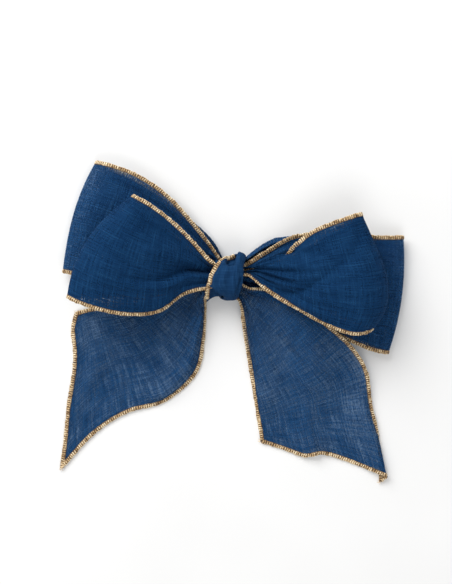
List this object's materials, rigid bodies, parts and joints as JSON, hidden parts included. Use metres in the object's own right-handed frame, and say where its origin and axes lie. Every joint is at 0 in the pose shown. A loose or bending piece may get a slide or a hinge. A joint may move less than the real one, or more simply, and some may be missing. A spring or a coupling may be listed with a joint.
{
  "type": "gift bow",
  "caption": "Ready-tied gift bow of wide wired linen ribbon: back loops, front loops and slanting tails round one knot, every edge bound in gold thread.",
  "frame": {"origin": "middle of the flat back of the knot, on the surface the bow lies on", "axes": "+X across the bow to the right-hand loops, +Y up the bow away from the tails, +Z out of the bow's face"},
  "size_m": [0.2877, 0.2602, 0.0526],
  "materials": {
    "linen": "matt plain-weave navy linen, slightly sheer",
    "gold_thread": "metallic gold overlock thread",
    "edge_wire": "thin drawn wire",
    "floral_wire": "green lacquered florist's wire"
  },
  "bodies": {
    "knot": {"knot_wrap": "linen", "knot_wrap_edging": "gold_thread", "back_ribbon_gather": "linen", "front_ribbon_gather": "linen", "cinch_wire": "floral_wire"},
    "back_loop_left_body": {"back_loop_left": "linen", "back_loop_left_lower_edging": "gold_thread", "back_loop_left_lower_wire": "edge_wire", "back_loop_left_upper_edging": "gold_thread", "back_loop_left_upper_wire": "edge_wire"},
    "back_loop_right_body": {"back_loop_right": "linen", "back_loop_right_lower_edging": "gold_thread", "back_loop_right_lower_wire": "edge_wire", "back_loop_right_upper_edging": "gold_thread", "back_loop_right_upper_wire": "edge_wire"},
    "front_loop_left_body": {"front_loop_left": "linen", "front_loop_left_lower_edging": "gold_thread", "front_loop_left_lower_wire": "edge_wire", "front_loop_left_upper_edging": "gold_thread", "front_loop_left_upper_wire": "edge_wire"},
    "front_loop_right_body": {"front_loop_right": "linen", "front_loop_right_lower_edging": "gold_thread", "front_loop_right_lower_wire": "edge_wire", "front_loop_right_upper_edging": "gold_thread", "front_loop_right_upper_wire": "edge_wire"},
    "tail_left_body": {"tail_left": "linen", "tail_left_inner_edging": "gold_thread", "tail_left_inner_wire": "edge_wire", "tail_left_outer_edging": "gold_thread", "tail_left_outer_wire": "edge_wire", "tail_left_end_hem": "gold_thread"},
    "tail_right_body": {"tail_right": "linen", "tail_right_inner_edging": "gold_thread", "tail_right_inner_wire": "edge_wire", "tail_right_outer_edging": "gold_thread", "tail_right_outer_wire": "edge_wire", "tail_right_end_hem": "gold_thread"}
  },
  "joints": [
    {"name": "front_loop_left_lift", "type": "hinge", "parent": "knot", "child": "front_loop_left_body", "pos_m": [-0.0165, 0, 0.0285], "axis": [0, 1, 0], "range_deg": [0, 30]},
    {"name": "front_loop_right_lift", "type": "hinge", "parent": "knot", "child": "front_loop_right_body", "pos_m": [0.0155, 0, 0.0285], "axis": [0, -1, 0], "range_deg": [0, 30]},
    {"name": "tail_left_swing", "type": "hinge", "parent": "knot", "child": "tail_left_body", "pos_m": [-0.014, -0.012, 0.014], "axis": [0, 0, 1], "range_deg": [-5, 14]},
    {"name": "tail_right_swing", "type": "hinge", "parent": "knot", "child": "tail_right_body", "pos_m": [0.012, -0.016, 0.014], "axis": [0, 0, -1], "range_deg": [0, 14]},
    {"name": "back_loop_left_fan", "type": "hinge", "parent": "knot", "child": "back_loop_left_body", "pos_m": [-0.014, 0.002, 0.0075], "axis": [0, 0, -1], "range_deg": [0, 10]},
    {"name": "back_loop_right_fan", "type": "hinge", "parent": "knot", "child": "back_loop_right_body", "pos_m": [0.0135, 0.001, 0.0075], "axis": [0, 0, 1], "range_deg": [0, 10]}
  ]
}
